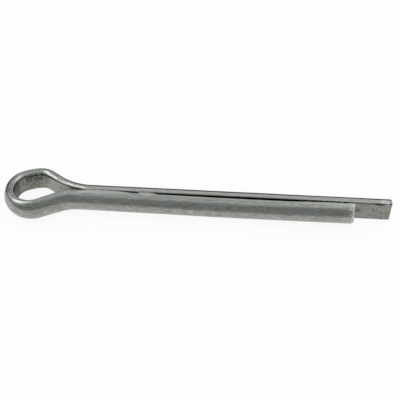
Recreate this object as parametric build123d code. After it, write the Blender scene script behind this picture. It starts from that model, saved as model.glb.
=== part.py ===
from build123d import *
import math
import os

# Split pin folded from one length of half-round wire, in millimetres.
# It lies flat: the eye is in the XY plane, the legs run along +X and Z is across the wire.
# The origin is on the shank's axis, where the long leg starts to bend into the eye.

# Wire in the legs
crown_radius = 1.85          # of the round side, so the closed shank is twice this across
wire_thickness = 1.79        # from the flat side to the crown
edge_radius = 0.34           # rounding where the flat side meets the crown

# Wire in the eye, where bending round the mandrel has flattened it
eye_crown_radius = 2.2
eye_thickness = 1.61

# Legs, each measured along its flat side
long_leg_reach = 43.53       # from the origin to the long leg's tip
short_leg_reach = 38.25      # from the origin to the short leg's tip
crotch_gap = 0.04            # between the flat sides where the legs first meet
long_leg_lean = 0.11         # degrees that the long leg leans away from the axis
short_leg_lean = 0.46        # degrees that the short leg leans away as it leaves the crotch
short_leg_root = 16.0        # straight stretch of the short leg at the crotch
short_leg_bow_radius = 1150  # of the stretch that bows back towards the long leg
short_leg_end = 2.5          # straight stretch of the short leg at its tip

# Far side of the eye, which carries on from the long leg
far_flare_radius = 9.53
far_flare_angle = 34.5       # degrees from the leg's line
far_side_length = 1.68
shoulder_radius = 1.65
shoulder_angle = 42.4
flank_radius = 6.54
flank_angle = 18.8
nose_radius = 2.38
nose_angle = 72.9

# Near side of the eye, one round bend that runs into the short leg
near_bend_radius = 2.51
near_side_angle = 25.7       # degrees of the near side's straight from the axis
near_flare_radius = 7.46

# Sheared ends
long_tip_shear = 2.0         # degrees off square, with the crown shorter than the flat
short_tip_shear = 20.0
tip_edge_radius = 0.12

half_gap = crotch_gap / 2


def straight_on(edge, length):
    """A straight run that carries on from an edge's end."""
    return Line(edge @ 1, edge @ 1 + (edge % 1) * length)


def bend_on(edge, radius, angle):
    """A tangent arc that carries on from an edge's end, turning left for a positive angle."""
    return JernArc(start=edge @ 1, tangent=edge % 1, radius=radius, arc_size=angle)


def wire_path():
    """The middle of the flat side from the long tip, round the eye, to the short tip."""
    long_tip_side = half_gap + long_leg_reach * math.tan(math.radians(long_leg_lean))
    long_leg = Line((long_leg_reach, long_tip_side), (0, half_gap))

    far_flare = bend_on(long_leg, far_flare_radius, -far_flare_angle - long_leg_lean)
    far_side = straight_on(far_flare, far_side_length)
    shoulder = bend_on(far_side, shoulder_radius, shoulder_angle)
    flank = bend_on(shoulder, flank_radius, flank_angle)
    nose = bend_on(flank, nose_radius, nose_angle)

    # The near bend turns the wire through what is left of the way back to the short leg.
    turned = 180 - far_flare_angle + shoulder_angle + flank_angle + nose_angle
    near_bend = bend_on(nose, near_bend_radius, 360 + near_side_angle - turned)

    # The near side is as long as it takes to bring the flat sides together at the crotch.
    near_flare_angle = near_side_angle + short_leg_lean
    near_slope = math.radians(near_side_angle)
    short_lean = math.radians(short_leg_lean)
    flare_rise = near_flare_radius * (math.cos(short_lean) - math.cos(near_slope))
    near_side_rise = -half_gap - (near_bend @ 1).Y - flare_rise
    near_side = straight_on(near_bend, near_side_rise / math.sin(near_slope))
    near_flare = bend_on(near_side, near_flare_radius, -near_flare_angle)

    short_root = straight_on(near_flare, short_leg_root)
    bow_reach = short_leg_reach - short_leg_end - (short_root @ 1).X
    tip_lean = math.asin(bow_reach / short_leg_bow_radius - math.sin(short_lean))
    short_bow = bend_on(short_root, short_leg_bow_radius, math.degrees(tip_lean) + short_leg_lean)
    short_end = straight_on(short_bow, (short_leg_reach - (short_bow @ 1).X) / math.cos(tip_lean))

    eye = [far_side, shoulder, flank, nose, near_bend, near_side]
    short_leg = [short_root, short_bow, short_end]
    return long_leg, far_flare, eye, near_flare, short_leg


def wire_section(edge, place, thickness, crown):
    """The half-round section across the path, with its flat side on the inside of the eye."""
    outward = (edge % place).cross(Vector(0, 0, 1))
    across = Plane(origin=edge @ place, x_dir=outward, z_dir=edge % place)
    centre = thickness - crown
    half_width = math.sqrt(crown**2 - centre**2)
    flat = Line((0, half_width), (0, -half_width))
    round_side = ThreePointArc((0, -half_width), (thickness, 0), (0, half_width))
    outline = make_face(flat + round_side)
    return across * fillet(outline.vertices(), edge_radius)


def leg_section(edge, place):
    return wire_section(edge, place, wire_thickness, crown_radius)


def eye_section(edge, place):
    return wire_section(edge, place, eye_thickness, eye_crown_radius)


def sheared_leg(tip_run, place, angle):
    """A leg's last stretch, cut off square less an angle that leaves the crown shorter."""
    stretch = sweep(leg_section(tip_run, 0), path=tip_run)
    tip = tip_run @ place
    outward = Vector(0, math.copysign(1, tip.Y), 0)
    slant = math.radians(angle)
    facing = Vector(math.cos(slant), 0, 0) + outward * math.sin(slant)
    cut = split(stretch, bisect_by=Plane(origin=tip, z_dir=facing), keep=Keep.BOTTOM)
    return fillet(cut.faces().sort_by(Axis.X)[-1].edges(), tip_edge_radius)


def flattening_stretch(edge, first_section, last_section):
    """A bend over which the wire changes from one section to the other."""
    return sweep([first_section(edge, 0), last_section(edge, 1)], path=edge, multisection=True)


long_leg, far_flare, eye, near_flare, short_leg = wire_path()

pin = sheared_leg(long_leg, 0, long_tip_shear)
pin += flattening_stretch(far_flare, leg_section, eye_section)
for run in eye:
    pin += sweep(eye_section(run, 0), path=run)
pin += flattening_stretch(near_flare, eye_section, leg_section)
for run in short_leg[:-1]:
    pin += sweep(leg_section(run, 0), path=run)
pin += sheared_leg(short_leg[-1], 1, short_tip_shear)

os.makedirs("parts", exist_ok=True)
export_step(pin, "parts/split_pin.step")
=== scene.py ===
import math

import bpy
import numpy as np
from mathutils import Matrix, Vector, noise


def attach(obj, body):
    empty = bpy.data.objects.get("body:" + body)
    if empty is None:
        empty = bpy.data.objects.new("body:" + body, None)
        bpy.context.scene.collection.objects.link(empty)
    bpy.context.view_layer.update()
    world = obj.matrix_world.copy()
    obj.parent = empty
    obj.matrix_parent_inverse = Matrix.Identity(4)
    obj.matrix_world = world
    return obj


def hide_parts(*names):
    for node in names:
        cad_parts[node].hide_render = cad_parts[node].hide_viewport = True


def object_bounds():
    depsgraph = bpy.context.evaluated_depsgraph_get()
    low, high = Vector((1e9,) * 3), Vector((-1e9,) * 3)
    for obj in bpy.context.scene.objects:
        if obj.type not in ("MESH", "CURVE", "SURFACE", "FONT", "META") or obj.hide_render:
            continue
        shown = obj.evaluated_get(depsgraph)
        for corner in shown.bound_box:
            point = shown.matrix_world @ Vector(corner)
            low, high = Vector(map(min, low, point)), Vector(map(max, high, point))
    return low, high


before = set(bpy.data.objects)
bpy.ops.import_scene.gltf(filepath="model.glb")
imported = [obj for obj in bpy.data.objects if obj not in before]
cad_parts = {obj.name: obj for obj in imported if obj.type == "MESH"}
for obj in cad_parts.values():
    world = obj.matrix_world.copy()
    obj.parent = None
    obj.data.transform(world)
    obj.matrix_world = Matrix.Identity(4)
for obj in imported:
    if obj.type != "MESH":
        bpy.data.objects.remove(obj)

MM = 0.001
cad_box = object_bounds()
floor_height = cad_box[0][2]

# Wire, in millimetres, a hair fuller in the legs than the solid has it
crown_radius = 1.88
wire_thickness = 1.82
edge_radius = 0.34
eye_crown_radius = 2.2
eye_thickness = 1.61

# Upper edges of the flat side: worn round in the eye, and sharper in the long leg and the short one
eye_rim_radius = 0.66
leg_rim_radii = (0.24, 0.37)
# Share by which the eye's lower half stands out beyond its arc, most at 45 degrees
eye_fullness = 0.026

# Legs, as in the solid but for the long tip, which stays 0.01 mm inside it
long_leg_reach = 43.52
short_leg_reach = 38.25
crotch_gap = 0.04
long_leg_lean = 0.11
short_leg_lean = 0.46
short_leg_root = 16.0
short_leg_bow_radius = 1150
short_leg_end = 2.5

# Eye, as in the solid
far_flare_radius = 9.53
far_flare_angle = 34.5
far_side_length = 1.68
shoulder_radius = 1.65
shoulder_angle = 42.4
flank_radius = 6.54
flank_angle = 18.8
nose_radius = 2.38
nose_angle = 72.9
near_bend_radius = 2.51
near_side_angle = 25.7
near_flare_radius = 7.46

# Share of flattening at each run's start and end, and of the wear that has rounded the upper edge.
# The runs that aren't named have none.
flattening = {
    "far_flare": (0, 1), "far_side": (1, 1), "shoulder": (1, 1), "flank": (1, 1),
    "nose": (1, 1), "near_bend": (1, 1), "near_side": (1, 1), "near_flare": (1, 0),
}
rim_wear = {
    "far_flare": (0, 0.9), "far_side": (0.9, 1), "shoulder": (1, 1), "flank": (1, 1),
    "nose": (1, 1), "near_bend": (1, 0.4), "near_side": (0.4, 0.1), "near_flare": (0.1, 0),
}

# Sheared ends: slant in degrees, and how far the slant reaches back along the wire
long_tip_shear = 0.6
short_tip_shear = 5.0
shear_fade = 2.3
# Rounding of each cut at the flat side and at the crown, and how far off the flat the latter starts
long_tip_radii = (0.06, 0.08)
short_tip_radii = (0.18, 0.46)
tip_crown_from = 1.2
# Unevenness of that rounding, as noise with its own row, and how soon it looks like the cut face
ragged_tip_scale = 2.9
ragged_tip_share = 0.7
ragged_tip_row = 5
cut_look_gain = 1.5
# Unevenness of the cut face
tear_depth = 0.03
tear_scale = 2.4

# Where along X the plating closes the seam between the legs, whose edges are also sharper there
closed_edge_radius = 0.12
seam_closed_from = (-1.6, -0.3)
seam_closed_to = (3.0, 6.4)
seam_bridge_from = (6.7, 7.2)
seam_bridge_to = (8.6, 9.8)
# Towards the tips it is partly closed again.
seam_end = (27.0, 35.0)
seam_end_closure = 0.5
# How uneven the closing is
seam_ragged_scale = 2.3
seam_ragged_share = 0.5
seam_ragged_row = 4.0

# Low dents of the drawn wire: depth, and spacing along and across it
dent_depth = 0.016
dent_spacing = (7.0, 1.6)

# Distances off the flat between which each of these comes or goes
flat_look_fade = (0.0, 0.12)
# The edge look is a painted highlight along the rounded edges.
edge_highlight_rise = (0.0, 0.06)
edge_highlight_fade = (0.3, 0.6)
dent_rise = (0.0, 0.5)
seam_plating_fade = (0.0, 0.25)

# Mesh: the wire's rings, the points on each and the rings of its ends
ring_spacing = 0.13
least_rings = 3
crown_points = 44
edge_points = 7
flat_points = 18
tip_rounding_rings = 5
cap_rings = 8
cap_ring_bias = 0.8


def ramp(value, low, high):
    """Smooth rise from 0 at low to 1 at high."""
    share = np.clip((value - low) / (high - low), 0.0, 1.0)
    return share * share * (3 - 2 * share)


def wire_runs():
    """The long tip's place and heading, and each run of the wire as (name, length, left turn)."""
    half_gap = crotch_gap / 2
    long_lean = math.radians(long_leg_lean)
    short_lean = math.radians(short_leg_lean)
    far_slope = math.radians(far_flare_angle)
    near_slope = math.radians(near_side_angle)
    start = (long_leg_reach, half_gap + long_leg_reach * math.tan(long_lean))
    heading = math.pi + long_lean

    def bend(name, radius, angle):
        return name, radius * abs(angle), angle

    runs = [
        ("long_leg", long_leg_reach / math.cos(long_lean), 0.0),
        bend("far_flare", far_flare_radius, -far_slope - long_lean),
        ("far_side", far_side_length, 0.0),
        bend("shoulder", shoulder_radius, math.radians(shoulder_angle)),
        bend("flank", flank_radius, math.radians(flank_angle)),
        bend("nose", nose_radius, math.radians(nose_angle)),
    ]
    turned = heading + sum(turn for _, _, turn in runs)
    runs.append(bend("near_bend", near_bend_radius, 2 * math.pi + near_slope - turned))

    # The near side is as long as it takes to bring the flat sides together at the crotch.
    low_side = walk(start, heading, runs)[-1][1]
    flare_rise = near_flare_radius * (math.cos(short_lean) - math.cos(near_slope))
    runs.append(("near_side", (-half_gap - low_side - flare_rise) / math.sin(near_slope), 0.0))
    runs.append(bend("near_flare", near_flare_radius, -near_slope - short_lean))

    runs.append(("short_root", short_leg_root, 0.0))
    root_end = walk(start, heading, runs)[-1][0]
    bow_reach = short_leg_reach - short_leg_end - root_end
    tip_lean = math.asin(bow_reach / short_leg_bow_radius - math.sin(short_lean))
    runs.append(bend("short_bow", short_leg_bow_radius, tip_lean + short_lean))
    runs.append(("short_end", short_leg_end / math.cos(tip_lean), 0.0))
    return start, heading, runs


def step(x, y, heading, length, turn):
    """Where a straight or a bend of this length and turn ends."""
    if turn == 0.0:
        return x + length * math.cos(heading), y + length * math.sin(heading), heading
    radius = length / turn
    after = heading + turn
    x += radius * (math.sin(after) - math.sin(heading))
    y -= radius * (math.cos(after) - math.cos(heading))
    return x, y, after


def walk(start, heading, runs):
    """The wire's start and the end of each run, as (x, y, heading)."""
    ends = [(*start, heading)]
    for _, length, turn in runs:
        ends.append(step(*ends[-1], length, turn))
    return ends


def between(pair, share):
    """The value at this share of the way from the first of a pair to the second."""
    return pair[0] + (pair[1] - pair[0]) * share


def sample_wire():
    """Rings along the wire: place, heading, distance from the long tip, flattening and rim wear."""
    start, heading, runs = wire_runs()
    ends = walk(start, heading, runs)
    rows = []
    along = 0.0
    for (name, length, turn), end in zip(runs, ends):
        count = max(least_rings, round(length / ring_spacing))
        for i in range(count):
            share = i / count
            flattened = between(flattening.get(name, (0, 0)), share)
            worn = between(rim_wear.get(name, (0, 0)), share)
            place = step(*end, length * share, turn * share)
            rows.append((*place, along + length * share, flattened, worn))
        along += length
    rows.append((*ends[-1], along, 0.0, 0.0))
    return np.array(rows)


def section(thickness, crown, low_edge, high_edge):
    """Half-round outline from the flat's lower edge round the crown and back along the flat.

    The columns are the distance outward from the flat and the height across the wire.
    """
    centre = thickness - crown

    def rounding(edge):
        rise = math.sqrt((crown - edge) ** 2 - (edge - centre) ** 2)
        return rise, math.atan2(rise, edge - centre)

    def arc(cx, cy, radius, first, last, count):
        turn = np.linspace(first, last, count, endpoint=False)
        return np.stack([cx + radius * np.cos(turn), cy + radius * np.sin(turn)], 1)

    low_rise, low_reach = rounding(low_edge)
    high_rise, high_reach = rounding(high_edge)
    flat_rise = np.linspace(high_rise, -low_rise, flat_points, endpoint=False)
    return np.concatenate([
        arc(low_edge, -low_rise, low_edge, -math.pi, -low_reach, edge_points),
        arc(centre, 0.0, crown, -low_reach, high_reach, crown_points),
        arc(high_edge, high_rise, high_edge, high_reach, math.pi, edge_points),
        np.stack([np.zeros(flat_points), flat_rise], 1),
    ])


def fuller(shape):
    """An eye outline whose lower half stands out beyond its arc."""
    turn = np.arctan2(-shape[:, 1:], shape[:, :1])
    return shape * (1 + eye_fullness * (shape[:, 1:] < 0) * np.sin(2 * turn) ** 4)


def wire_outlines(along, flattened, worn, closed):
    """The wire's outline at each ring, before its dents and the plating in its seam."""
    leg_rim = np.where(along < along[-1] / 2, *leg_rim_radii)
    rims = leg_rim + (edge_radius - leg_rim) * flattened
    rims += (eye_rim_radius - rims) * worn
    outlines = []
    for share, shut, rim in zip(flattened, closed, rims):
        low_edge = between((edge_radius, closed_edge_radius), shut)
        high_edge = between((rim, closed_edge_radius), shut)
        leg = section(wire_thickness, crown_radius, low_edge, high_edge)
        eye = fuller(section(eye_thickness, eye_crown_radius, low_edge, high_edge))
        outlines.append(leg * (1 - share) + eye * share)
    return np.array(outlines)


def outline_normals(outline):
    """Outward unit normals of closed outlines whose points are on the last axis but one."""
    run = np.roll(outline, -1, axis=-2) - np.roll(outline, 1, axis=-2)
    normal = np.stack([run[..., 1], -run[..., 0]], -1)
    return normal / np.linalg.norm(normal, axis=-1, keepdims=True)


def seam_closure(x, flattened):
    """How far the seam between the legs is closed, from 0 to 1, at each place along the shank."""
    closed = ramp(x, *seam_closed_from) * (1 - ramp(x, *seam_closed_to))
    bridge = ramp(x, *seam_bridge_from) * (1 - ramp(x, *seam_bridge_to))
    end = seam_end_closure * ramp(x, *seam_end)
    shut = np.maximum(np.maximum(closed, bridge), end)
    places = [Vector((value * seam_ragged_scale, seam_ragged_row, 0.0)) for value in x]
    ragged = np.array([noise.noise(place) for place in places])
    return np.clip(shut * (1 + seam_ragged_share * ragged) * (1 - flattened), 0, 1)


def dent_field(places):
    """Low unevenness of the surface, from 0 to 1, at places given as (along, outward, height)."""
    scale = np.array([1 / dent_spacing[0], 1 / dent_spacing[1], 1 / dent_spacing[1]])
    flat_list = (places.reshape(-1, 3) * scale).tolist()
    values = np.array([noise.noise(Vector(place)) for place in flat_list])
    return np.clip(0.5 + values, 0, 1).reshape(places.shape[:-1])


def tip_rings(outline, normals, flat_radius, crown_tip_radius):
    """Rings from the wall over the rounded edge to the middle of a cut end.

    Each ring is (outline, distance back from the cut at each point, share of cut face).
    """
    radii = between((flat_radius, crown_tip_radius), ramp(outline[:, 0], 0.0, tip_crown_from))
    places = [Vector((*point, ragged_tip_row)) * ragged_tip_scale for point in outline]
    radii = radii * (1 + ragged_tip_share * np.array([noise.noise(place) for place in places]))
    rings = []
    for turn in np.linspace(0, math.pi / 2, tip_rounding_rings):
        inset = outline - normals * (radii * (1 - math.cos(turn)))[:, None]
        rings.append((inset, radii * (1 - math.sin(turn)), min(1.0, cut_look_gain * math.sin(turn))))
    rim = rings[-1][0]
    middle = rim.mean(0)
    for share in np.linspace(1, 0, cap_rings, endpoint=False)[1:] ** cap_ring_bias:
        ring = middle + (rim - middle) * share
        torn = np.array([noise.noise(Vector((*point, 0)) * tear_scale) for point in ring])
        rings.append((ring, tear_depth * (1 - share ** 4) * (1 + torn), 1.0))
    return rings


def wire_rings():
    """Every ring from the long tip's cut to the short tip's, as arrays of points and of attributes."""
    rows = sample_wire()
    x, y, heading, along, flattened, worn = rows.T
    closed = seam_closure(x, flattened)
    outline = wire_outlines(along, flattened, worn, closed)
    normals = outline_normals(outline)
    outward = outline[:, :, 0]
    # Where the painted edge highlight and the flat's look show
    edge_highlight_share = ramp(outward, *edge_highlight_rise) * (1 - ramp(outward, *edge_highlight_fade))
    flat_share = 1 - ramp(outward, *flat_look_fade)

    # Drawn wire is slightly uneven, and the plating reaches over the gap where the seam is closed.
    ring_along = np.repeat(along[:, None, None], outline.shape[1], 1)
    dents = dent_field(np.concatenate([ring_along, outline], 2)) * ramp(outward, *dent_rise)
    reach = (closed * np.abs(y))[:, None] * (1 - ramp(outward, *seam_plating_fade))
    outline = outline - normals * (dent_depth * dents)[:, :, None]
    outline[:, :, 0] -= reach

    total = along[-1]
    points = []
    places = []
    sides = []

    def add(i, shape, back, cut):
        """One ring of the wire, set back from row i towards the eye and slanted near the tip."""
        from_long, from_short = along[i], total - along[i]
        inward = 1 if from_long < from_short else -1
        slant = math.radians(long_tip_shear if inward > 0 else short_tip_shear)
        fade = 1 - ramp(min(from_long, from_short), 0.0, shear_fade)
        forward = inward * (back + math.tan(slant) * shape[:, 0] * fade)
        px = x[i] + math.cos(heading[i]) * forward + math.sin(heading[i]) * shape[:, 0]
        py = y[i] + math.sin(heading[i]) * forward - math.cos(heading[i]) * shape[:, 0]
        points.append(np.stack([px, py, shape[:, 1]], 1))
        places.append(np.stack([along[i] + forward, shape[:, 0], shape[:, 1]], 1))
        around = len(shape)
        sides.append(np.stack([
            flat_share[i] * (1 - cut),
            edge_highlight_share[i] * (1 - cut),
            np.full(around, cut),
            np.full(around, flattened[i]),
        ], 1))

    for shape, back, cut in tip_rings(outline[0], normals[0], *long_tip_radii)[::-1]:
        add(0, shape, back, cut)
    clear_long = max(long_tip_radii) + ring_spacing / 2
    clear_short = max(short_tip_radii) + ring_spacing / 2
    for i in np.flatnonzero((along > clear_long) & (total - along > clear_short)):
        add(i, outline[i], 0.0, 0.0)
    for shape, back, cut in tip_rings(outline[-1], normals[-1], *short_tip_radii):
        add(len(rows) - 1, shape, back, cut)
    return np.array(points), np.array(places), np.array(sides)


def link_mesh(name, corners, faces):
    """A new object of these corners and faces, in the scene."""
    mesh = bpy.data.meshes.new(name)
    mesh.from_pydata(corners, [], faces)
    made = bpy.data.objects.new(name, mesh)
    bpy.context.scene.collection.objects.link(made)
    return made


def build_wire():
    """The wire, with the attributes that its material reads."""
    points, places, sides = wire_rings()
    rings, around = points.shape[:2]
    corner = np.arange(rings * around).reshape(rings, around)
    beside = np.roll(corner, -1, axis=1)
    faces = np.stack([corner[:-1], corner[1:], beside[1:], beside[:-1]], -1).reshape(-1, 4).tolist()

    # A fan round one more corner closes the middle of each cut end.
    first, last = rings * around, rings * around + 1
    faces += [(first, a, b) for a, b in zip(corner[0], beside[0])]
    faces += [(last, b, a) for a, b in zip(corner[-1], beside[-1])]

    def with_middles(values):
        """One row for each corner, and one for the middle of each end."""
        middles = [values[0].mean(0), values[-1].mean(0)]
        return np.concatenate([values.reshape(-1, values.shape[-1]), middles])

    piece = link_mesh("split_pin_wire", (with_middles(points) * MM).tolist(), faces)
    mesh = piece.data
    for name, kind, field, values in (
        ("wire_place", "FLOAT_VECTOR", "vector", places),
        ("wire_side", "FLOAT_COLOR", "color", sides),
    ):
        attribute = mesh.attributes.new(name, kind, "POINT")
        attribute.data.foreach_set(field, with_middles(values).astype(np.float32).ravel())
    mesh.validate()
    mesh.update()
    for polygon in mesh.polygons:
        polygon.use_smooth = True
    return piece


class Graph:
    """Short calls for building a material's nodes."""

    def __init__(self, name):
        self.material = bpy.data.materials.new(name)
        self.material.use_nodes = True
        self.tree = self.material.node_tree
        self.shader = self.tree.nodes.get("Principled BSDF")
        self.output = self.tree.nodes["Material Output"]

    def feed(self, socket, value):
        if isinstance(value, bpy.types.NodeSocket):
            self.tree.links.new(value, socket)
        else:
            socket.default_value = value

    def shade(self, **values):
        """Feed the shader's sockets, named with underscores for spaces."""
        for name, value in values.items():
            self.feed(self.shader.inputs[name.replace("_", " ")], value)

    def node(self, kind, outlet=0, inputs=(), **settings):
        made = self.tree.nodes.new("ShaderNode" + kind)
        for key, value in settings.items():
            setattr(made, key, value)
        for socket, value in dict(inputs).items():
            self.feed(made.inputs[socket], value)
        return made.outputs[outlet]

    def split(self, value, kind):
        made = self.tree.nodes.new("ShaderNode" + kind)
        self.feed(made.inputs[0], value)
        return list(made.outputs)

    def math(self, operation, first, second=0.0):
        return self.node("Math", operation=operation, inputs={0: first, 1: second})

    def times(self, *values):
        product = values[0]
        for value in values[1:]:
            product = self.math("MULTIPLY", product, value)
        return product

    def plus(self, first, second):
        return self.math("ADD", first, second)

    def rest(self, share):
        """What a share leaves of 1."""
        return self.math("SUBTRACT", 1.0, share)

    def maximum(self, first, second):
        return self.math("MAXIMUM", first, second)

    def ramp(self, value, low, high, to_low=0.0, to_high=1.0):
        """Smooth change from to_low at low to to_high at high, where low may be the larger."""
        if low > high:
            low, high, to_low, to_high = high, low, to_high, to_low
        return self.node(
            "MapRange", interpolation_type="SMOOTHSTEP",
            inputs={"Value": value, "From Min": low, "From Max": high, "To Min": to_low, "To Max": to_high},
        )

    def near(self, value, middle, reach):
        """1 at the middle, falling to 0 at the reach on both sides."""
        away = self.math("ABSOLUTE", self.math("SUBTRACT", value, middle))
        return self.ramp(away, reach, reach / 2)

    def noise(self, place, shift, counts, detail, rough):
        """Noise with these counts of grains a millimetre along the wire, outward and across it."""
        moved = self.node("VectorMath", operation="ADD", inputs={0: place, 1: (shift, shift, shift)})
        scaled = self.node("VectorMath", operation="MULTIPLY", inputs={0: moved, 1: counts})
        return self.node("TexNoise", inputs={
            "Vector": scaled, "Scale": 1.0, "Detail": detail, "Roughness": rough,
        })

    def blend(self, share, first, second):
        return self.node("Mix", outlet=2, data_type="RGBA", inputs={0: share, 6: first, 7: second})

    def bump(self, height, depth, normal=None):
        """Relief of this depth in millimetres over an earlier one."""
        inputs = {"Height": height, "Distance": depth * MM, "Strength": 1.0}
        if normal is not None:
            inputs["Normal"] = normal
        return self.node("Bump", inputs=inputs)


# Plating colours as written, in linear light
zinc = (0.356, 0.400, 0.380, 1)
# Warmer zinc for the lower half: a painted reflection of a warm floor
floor_reflection_zinc = (0.374, 0.370, 0.356, 1)
# Pale zinc is for pale scuffs and streaks, and also for the painted highlights on the legs' edges and the
# eye's lip.
pale_zinc_and_highlight = (0.53, 0.55, 0.52, 1)
dull_zinc = (0.264, 0.282, 0.262, 1)
worn_zinc = (0.300, 0.296, 0.270, 1)
soiled_zinc = (0.120, 0.112, 0.090, 1)
tarnish = (0.300, 0.285, 0.232, 1)
flat_zinc = (0.196, 0.198, 0.174, 1)
# Grime, also used for painted shade in the seam, the eye's nose corner, and the long tip's rim line and
# notch
grime_and_shade = (0.045, 0.041, 0.035, 1)
rust = (0.200, 0.135, 0.030, 1)
cut_steel = (0.72, 0.72, 0.70, 1)
# White of the painted highlights
highlight_steel = (0.95, 0.95, 0.94, 1)

# Noises on the wire: shift, grains a millimetre along, outward and across, detail and roughness.
# Drawing leaves lines and hairs, use leaves the rest, and the blade leaves the tear.
grains = {
    "lines": (0.0, (0.22, 7.0, 7.0), 4.0, 0.62),
    "hairs": (0.0, (0.7, 26.0, 26.0), 2.0, 0.6),
    "clouds": (0.0, (0.4, 1.1, 1.1), 3.0, 0.6),
    "mottle": (0.0, (2.0, 4.2, 4.2), 4.0, 0.6),
    "dashes": (31.0, (0.85, 6.5, 6.5), 3.0, 0.6),
    "specks": (0.0, (4.2, 6.0, 6.0), 2.0, 0.5),
    "tear": (0.0, (4.0, 3.5, 5.0), 4.0, 0.65),
}

# Below, unless a line says otherwise, a pair of places, heights, distances off the flat or noise levels
# is where a look starts and where it is full. Two more numbers are its shares there, if not 0 and 1.

# The lower half of the wire is scuffed most, and the legs' flat sides least.
low_half = (1.3, 0.3)
low_scuffs = 0.95
least_scuffs = 0.65
flat_shelter = 0.65
patches = (0.36, 0.60, 0.35, 1.0)
line_levels = (0.32, 0.66)
# The lower half is tinted warm, as a painted reflection of the floor.
floor_reflection_share = 0.75

# Layers: noise, its levels, where it shows, share that it covers and colour
plating_layers = [
    ("hairs", (0.52, 0.72), "everywhere", 0.35, pale_zinc_and_highlight),
    ("clouds", (0.35, 0.65), "scuffed", 0.8, worn_zinc),
    ("clouds", (0.48, 0.34), "scuffed", 0.6, dull_zinc),
    ("mottle", (0.52, 0.66), "patchy", 0.55, pale_zinc_and_highlight),
    ("mottle", (0.48, 0.36), "patchy", 0.35, soiled_zinc),
    ("dashes", (0.55, 0.68), "scuffed", 0.8, pale_zinc_and_highlight),
    ("dashes", (0.45, 0.33), "scuffed", 0.55, soiled_zinc),
]
leg_flat_layers = [
    ("mottle", (0.52, 0.38), "leg_flat", 0.50, soiled_zinc),
    ("dashes", (0.54, 0.64), "leg_flat", 0.35, pale_zinc_and_highlight),
]
leg_flat_share = 0.7

# Soil inside the eye, in millimetres along the wire from the long tip and off the flat side
inside = (0.20, 0.04)
inside_height = (-1.3, 0.5, 0.78, 1.0)
eye_tarnish = (45.5, 49.0)
tarnish_share = 0.45
eye_soil = (49.0, 53.5)
soil_by_mottle = (0.62, 0.42, 0.38, 0.80)
soil_by_clouds = (0.35, 0.60, 0.60, 1.0)
soil_by_place = (53.6, 55.4, 1.08, 0.85)
lump_levels = (0.46, 0.36)
lump_share = 0.7
bare_dash_levels = (0.57, 0.65)
bare_dash_share = 0.25
# Its upper lip gets a painted highlight.
lip_highlight_outward = (0.16, 0.05)
lip_highlight_height = (0.9, 1.25)
lip_highlight_share = 0.6
# It is thickest on a stretch of the wall, and the nose corner gets painted shade; both are given as middle
# and half length along the wire.
wall_soil = (52.8, 2.2)
wall_levels = (0.62, 0.42)
wall_height = (-0.6, 0.7)
corner_shade = (57.2, 2.0)
soil_and_shade_share = 0.85
# Pits show in the soil and a little on the lower half.
pit_levels = (0.56, 0.64)
low_pits = 0.3

# Dirt and painted shade in the seam and at its edges, broken up along the legs
seam_dirt = (6.0, 14.0)
seam_dirt_outward = (0.20, 0.02)
seam_dirt_by_clouds = (0.30, 0.55, 0.35, 1.0)
seam_dirt_and_shade_share = 0.3
# Where the legs face each other
facing = (5.0, 6.5)
crumb_outward = (0.5, 0.25)
crumb_levels = (0.50, 0.42)
crumb_share = 0.6
# Rust on both edges of the seam: middle and half length along the wire
rust_places = [(34.15, 0.6), (79.05, 0.5)]
rust_outward = (0.50, 0.25)
rust_height = (0.9, 1.2)
rust_share = 0.9

# Marks: name, middle and half length along the wire, middle and half height, where it shows, share
# that it covers and colour
rim_outward = (0.3, 0.1)
burr_highlight_outward = (0.7, 0.4)
glint_levels = (0.42, 0.58)
# Dirt marks, with painted shade along the long leg's upper rim line and in a notch at its tip
dirt_and_shade_marks = [
    ("edge_shade_line", (4.2, 4.6), (1.58, 0.18), "rim", 0.55, grime_and_shade),
    ("smudge", (4.75, 0.6), (0.15, 0.5), "flat", 0.45, grime_and_shade),
    ("stain", (1.75, 0.95), (1.56, 0.24), "rim", 1.0, grime_and_shade),
    ("notch_shade", (0.12, 0.3), (1.72, 0.28), "rim", 1.0, grime_and_shade),
]
# Painted highlights: a bright spot on the short tip's top corner, and glints on the long tip's rim
painted_highlights = [
    ("burr", (107.60, 0.36), (1.42, 0.34), "burr_highlight_side", 1.0, highlight_steel),
    ("glint", (1.0, 0.75), (1.80, 0.11), "glinting", 0.7, highlight_steel),
]

# The short tip is frayed before its cut, and the legs' rounded edges get a painted highlight.
tear_levels = (0.42, 0.56)
fray = (107.2, 107.8)
fray_levels = (0.50, 0.58)
leg_edge_highlight_share = 0.6

# Roughness, and what the lower half, soil and cuts, and the far flare's dull rim add to it
line_roughness = (0.3, 0.7, 0.25, 0.19)
low_roughness = 0.10
soil_roughness = 0.12
dull_rim_roughness = 0.12
# Middle and half length along the wire
dull_rim = (46.0, 4.6)
dull_rim_outward = (0.8, 0.4)

# Relief: what stands out, where, and how far in millimetres
reliefs = [
    ("lines", "everywhere", 0.006),
    ("hairs", "everywhere", 0.0012),
    ("mottle", "scuffed", 0.014),
    ("pits", "everywhere", -0.010),
    ("tear", "cut", 0.03),
]


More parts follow.
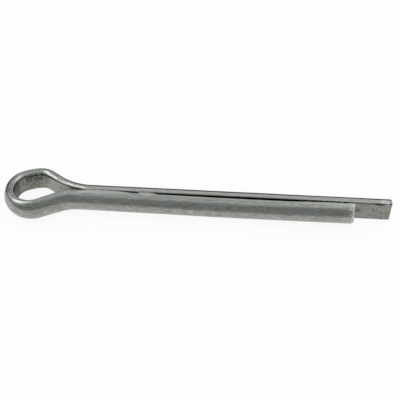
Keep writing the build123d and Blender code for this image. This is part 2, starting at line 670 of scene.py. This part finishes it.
class PlatedSteel(Graph):
    """Zinc plating on drawn wire, with its wear, its soil and its sheared ends, and painted highlights,
    shade and floor reflection.
    """

    def __init__(self):
        """Read the wire's attributes, and work out where each look shows."""
        super().__init__("plated_steel")
        place = self.node("Attribute", outlet="Vector", attribute_name="wire_place")
        side = self.node("Attribute", outlet="Color", attribute_name="wire_side")
        self.along, self.outward, self.height = self.split(place, "SeparateXYZ")
        self.flat, self.edge, self.cut = self.split(side, "SeparateColor")
        self.eye = self.node("Attribute", outlet="Alpha", attribute_name="wire_side")
        for name, grain in grains.items():
            setattr(self, name, self.noise(place, *grain))

        self.everywhere = 1.0
        self.leg = self.rest(self.eye)
        self.leg_flat = self.times(self.flat, self.leg)
        self.low = self.ramp(self.height, *low_half)
        scuffs = self.maximum(self.times(self.low, low_scuffs), least_scuffs)
        self.scuffed = self.times(scuffs, self.rest(self.times(self.leg_flat, flat_shelter)))
        self.patchy = self.times(self.scuffed, self.ramp(self.clouds, *patches))
        self.inner = self.times(
            self.ramp(self.outward, *inside), self.ramp(self.height, *inside_height), self.eye,
        )
        self.soil = self.times(self.ramp(self.along, *eye_soil), self.inner)
        pitted = self.maximum(self.times(self.low, low_pits), self.soil)
        self.pits = self.times(self.ramp(self.specks, *pit_levels), pitted)
        self.rim = self.ramp(self.outward, *rim_outward)
        # Where the painted highlight on the short tip's corner shows
        self.burr_highlight_side = self.ramp(self.outward, *burr_highlight_outward)
        self.glinting = self.ramp(self.specks, *glint_levels)

    def cover(self, share, colour):
        """Lay a colour over this share of what is there."""
        self.colour = self.blend(share, self.colour, colour)

    def lay(self, layers):
        for name, levels, where, share, colour in layers:
            shown = self.ramp(getattr(self, name), *levels)
            self.cover(self.times(shown, getattr(self, where), share), colour)

    def mark(self, marks):
        for _, place, height, where, share, colour in marks:
            spot = self.times(self.near(self.along, *place), self.near(self.height, *height))
            self.cover(self.times(spot, getattr(self, where), share), colour)

    def plating(self):
        self.colour = self.blend(self.ramp(self.lines, *line_levels), dull_zinc, zinc)
        # Painted reflection: the lower half is tinted warm, as if it reflected a warm floor.
        self.cover(self.times(self.low, floor_reflection_share), floor_reflection_zinc)
        self.lay(plating_layers)

    def flat_sides(self):
        aged = self.times(self.ramp(self.along, *eye_tarnish), self.inner)
        self.cover(self.times(aged, tarnish_share), tarnish)
        self.cover(self.times(self.leg_flat, leg_flat_share), flat_zinc)
        self.lay(leg_flat_layers)

    def soil_shade_and_highlight_in_eye(self):
        thickness = self.times(
            self.ramp(self.mottle, *soil_by_mottle), self.ramp(self.clouds, *soil_by_clouds),
            self.ramp(self.along, *soil_by_place),
        )
        self.cover(self.times(self.soil, thickness), soiled_zinc)
        self.lay([("mottle", lump_levels, "soil", lump_share, grime_and_shade)])
        # Painted highlight along the eye's upper lip
        lip = self.times(self.ramp(self.outward, *lip_highlight_outward), self.ramp(self.height, *lip_highlight_height))
        self.cover(self.times(lip, self.eye, lip_highlight_share), pale_zinc_and_highlight)
        # Painted shade in the eye's corner at the nose, laid with the thick soil on the wall
        corner = self.times(self.near(self.along, *corner_shade), self.inner)
        wall = self.times(
            self.near(self.along, *wall_soil), self.inner,
            self.ramp(self.mottle, *wall_levels), self.ramp(self.height, *wall_height),
        )
        self.cover(self.times(self.maximum(corner, wall), soil_and_shade_share), grime_and_shade)
        self.lay([("dashes", bare_dash_levels, "soil", bare_dash_share, pale_zinc_and_highlight)])
        self.cover(self.pits, grime_and_shade)

    def dirt_and_shade_on_legs(self):
        # Dirt and painted shade in the groove between the legs
        seam = self.times(
            self.ramp(self.outward, *seam_dirt_outward), self.leg, self.ramp(self.along, *seam_dirt),
            self.ramp(self.clouds, *seam_dirt_by_clouds), seam_dirt_and_shade_share,
        )
        crumbs = self.times(
            self.ramp(self.outward, *crumb_outward), self.leg, self.ramp(self.mottle, *crumb_levels),
            self.ramp(self.along, *facing), crumb_share,
        )
        self.cover(self.maximum(seam, crumbs), grime_and_shade)
        # Dirt marks, and painted shade on the long leg's rim line and notch
        self.mark(dirt_and_shade_marks)
        rusty = self.maximum(*[self.near(self.along, *place) for place in rust_places])
        seam_edge = self.times(self.ramp(self.outward, *rust_outward), self.ramp(self.height, *rust_height))
        self.cover(self.times(rusty, seam_edge, rust_share), rust)

    def sheared_ends_and_highlights(self):
        torn = self.blend(self.ramp(self.tear, *tear_levels), worn_zinc, cut_steel)
        frayed = self.times(self.ramp(self.along, *fray), self.ramp(self.tear, *fray_levels))
        self.cut = self.maximum(self.cut, frayed)
        self.cover(self.cut, torn)
        # Painted highlight along the legs' rounded edges
        self.cover(self.times(self.edge, self.leg, leg_edge_highlight_share), pale_zinc_and_highlight)
        # Painted highlights on the short tip's corner and the long tip's rim
        self.mark(painted_highlights)

    def roughness(self):
        rim = self.times(self.near(self.along, *dull_rim), self.ramp(self.outward, *dull_rim_outward))
        rough = self.ramp(self.lines, *line_roughness)
        for where, added in (
            (self.low, low_roughness),
            (self.maximum(self.soil, self.cut), soil_roughness),
            (rim, dull_rim_roughness),
        ):
            rough = self.plus(rough, self.times(where, added))
        return rough

    def relief(self):
        normal = None
        for name, where, depth in reliefs:
            normal = self.bump(self.times(getattr(self, name), getattr(self, where)), depth, normal)
        return normal


def plated_steel():
    steel = PlatedSteel()
    steel.plating()
    steel.flat_sides()
    steel.soil_shade_and_highlight_in_eye()
    steel.dirt_and_shade_on_legs()
    steel.sheared_ends_and_highlights()
    steel.shade(Base_Color=steel.colour, Metallic=1.0, Roughness=steel.roughness(), Normal=steel.relief())
    return steel.material


# Floor: a pale sheet whose glow only the camera, reflections and transmission see
floor_size = 6.0
floor_grey = 0.93
floor_roughness = 0.9
floor_glow = 0.9

# Cards: sideways angles from the plane across the legs, towards +X, rises from the camera's side over
# the top at 90 to the far side at 180, all in degrees, and grey
card_distance = 0.6
card_columns = 25
card_rows = 13
cards = [
    ("front_card", (-68, 75), (0, 34), 0.41),
    ("front_right_card", (-22, 75), (34, 52), 0.42),
    ("front_step_card", (5, 11), (52, 67), 0.34),
    ("front_side_card", (11, 20), (52, 60), 0.42),
    ("top_left_card", (-22, -7), (52, 116), 0.64),
    ("top_card", (-7, -4), (52, 116), 0.74),
    ("top_front_card", (-4, 5), (52, 66), 0.78),
    ("top_rear_card", (-4, 8), (77, 116), 0.79),
    ("rear_card", (-30, 60), (126, 150), 0.58),
    ("rear_low_card", (-30, 60), (150, 164), 0.92),
    ("rear_left_card", (-68, -30), (134, 180), 0.30),
    ("left_end_card", (-90, -68), (0, 180), 0.48),
]

# Strips just above the floor that the metal reflects beside its foot, in metres: corners and grey
strip_height = 0.00005
strip_reach = 0.4
rear_strip_start = 0.005
# The front strip starts further off under the eye, which is wider than the legs.
leg_strip_start = -0.0105
eye_strip_start = -0.017
eye_strip_ends = (0.0, 0.013)
rear_strip = [
    (-strip_reach, rear_strip_start), (strip_reach, rear_strip_start),
    (strip_reach, strip_reach), (-strip_reach, strip_reach),
]
front_strip = [
    (-strip_reach, -strip_reach), (strip_reach, -strip_reach), (strip_reach, leg_strip_start),
    (eye_strip_ends[1], leg_strip_start), (eye_strip_ends[0], eye_strip_start),
    (-strip_reach, eye_strip_start),
]
strips = [("rear_strip", rear_strip, 0.06), ("front_strip", front_strip, 0.42)]

# Softboxes: sideways angle, rise, angular radius and radiance
softbox_distance = 0.45
softboxes = [
    ("left_softbox", -47, 70, 14, 1.5),
    ("nose_softbox", -25, 93, 13, 3.1),
    ("right_softbox", 32, 94, 13, 1.6),
]

# Camera, from the fit of the pin's outline to the photograph, with its focal length in pixels
camera_azimuth = math.radians(2.731)
camera_elevation = math.radians(49.234)
camera_roll = math.radians(0.811)
camera_distance = 138.125 * MM
camera_focal = 946.49
camera_clip = (0.005, 10)
picture_width = 400
sensor_width = 36
# The place on the shank's axis that the fit aims at, and its pixel
aim = Vector((15.76, 0.0, 0.0)) * MM
aim_pixel = (199.568, 202.925)


def pale_floor():
    sheet = Graph("pale_floor")
    sheet.shade(Base_Color=(floor_grey, floor_grey, floor_grey, 1), Roughness=floor_roughness)
    glow = sheet.node("Emission", inputs={"Color": (1, 1, 1, 1), "Strength": 1.0})
    path = sheet.tree.nodes.new("ShaderNodeLightPath")
    seen = sheet.maximum(path.outputs["Is Camera Ray"], path.outputs["Is Glossy Ray"])
    seen = sheet.maximum(seen, path.outputs["Is Transmission Ray"])
    share = sheet.times(seen, floor_glow)
    mixed = sheet.node("MixShader", inputs={0: share, 1: sheet.shader.outputs[0], 2: glow})
    sheet.feed(sheet.output.inputs["Surface"], mixed)
    return sheet.material


def grey_card(name, grey):
    card = Graph(name)
    card.shade(Base_Color=(grey, grey, grey, 1), Roughness=1.0, Specular_IOR_Level=0.0)
    return card.material


def make_floor():
    half = floor_size / 2
    corners = [(-half, -half), (half, -half), (half, half), (-half, half)]
    floor = link_mesh("floor", [(cx, cy, floor_height) for cx, cy in corners], [(0, 1, 2, 3)])
    floor.data.materials.append(pale_floor())


def direction(aside, rise):
    """Unit vectors towards a sideways angle and a rise, in radians."""
    return np.stack([
        np.sin(aside) + 0 * rise,
        -np.cos(aside) * np.cos(rise),
        np.cos(aside) * np.sin(rise),
    ], -1)


def reflected(name, corners, faces, grey):
    """A grey sheet that the metal reflects and nothing else sees."""
    card = link_mesh(name, corners, faces)
    card.data.materials.append(grey_card(name, grey))
    card.visible_camera = False
    card.visible_diffuse = False
    card.visible_shadow = False


def make_card(name, asides, rises, grey):
    across = np.radians(np.linspace(*asides, card_columns))
    up = np.radians(np.linspace(*rises, card_rows))
    aside, rise = np.meshgrid(across, up)
    points = card_distance * direction(aside, rise)
    corner = np.arange(aside.size).reshape(aside.shape)
    faces = np.stack([corner[:-1, :-1], corner[:-1, 1:], corner[1:, 1:], corner[1:, :-1]], -1)
    reflected(name, points.reshape(-1, 3).tolist(), faces.reshape(-1, 4).tolist(), grey)


def make_strip(name, outline, grey):
    height = floor_height + strip_height
    corners = [(cx, cy, height) for cx, cy in outline]
    reflected(name, corners, [tuple(range(len(corners)))], grey)


def make_softbox(name, aside, rise, reach, radiance):
    away = Vector(direction(np.radians(aside), np.radians(rise)).tolist())
    data = bpy.data.lights.new(name, "AREA")
    data.shape = "DISK"
    data.size = 2 * softbox_distance * math.tan(math.radians(reach))
    data.energy = radiance * math.pi ** 2 * data.size ** 2 / 4
    lamp = bpy.data.objects.new(name, data)
    lamp.location = away * softbox_distance
    lamp.rotation_mode = "QUATERNION"
    lamp.rotation_quaternion = away.to_track_quat("Z", "Y")
    lamp.visible_camera = False
    lamp.visible_diffuse = False
    bpy.context.scene.collection.objects.link(lamp)


def make_camera():
    back = Vector((
        math.sin(camera_azimuth) * math.cos(camera_elevation),
        -math.cos(camera_azimuth) * math.cos(camera_elevation),
        math.sin(camera_elevation),
    ))
    level = Vector((math.cos(camera_azimuth), math.sin(camera_azimuth), 0))
    upright = back.cross(level)
    right = math.cos(camera_roll) * level + math.sin(camera_roll) * upright
    up = back.cross(right)
    data = bpy.data.cameras.new("camera")
    data.sensor_width = sensor_width
    data.lens = camera_focal / picture_width * sensor_width
    data.clip_start, data.clip_end = camera_clip
    camera = bpy.data.objects.new("camera", data)
    bpy.context.scene.collection.objects.link(camera)
    middle = picture_width / 2
    aside = (middle - aim_pixel[0]) / camera_focal * camera_distance
    above = (aim_pixel[1] - middle) / camera_focal * camera_distance
    camera.location = aim + back * camera_distance + right * aside + up * above
    camera.rotation_mode = "QUATERNION"
    camera.rotation_quaternion = Matrix((right, up, back)).transposed().to_quaternion()
    bpy.context.scene.camera = camera


def make_world():
    world = bpy.data.worlds.new("studio")
    bpy.context.scene.world = world
    world.use_nodes = True
    world.node_tree.nodes["Background"].inputs["Color"].default_value = (1, 1, 1, 1)


pin = build_wire()
pin.data.materials.append(plated_steel())
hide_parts("split_pin")
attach(pin, "root")

make_floor()
for card in cards:
    make_card(*card)
for strip in strips:
    make_strip(*strip)
for softbox in softboxes:
    make_softbox(*softbox)
make_camera()
make_world()
bpy.context.scene.view_settings.view_transform = "Standard"
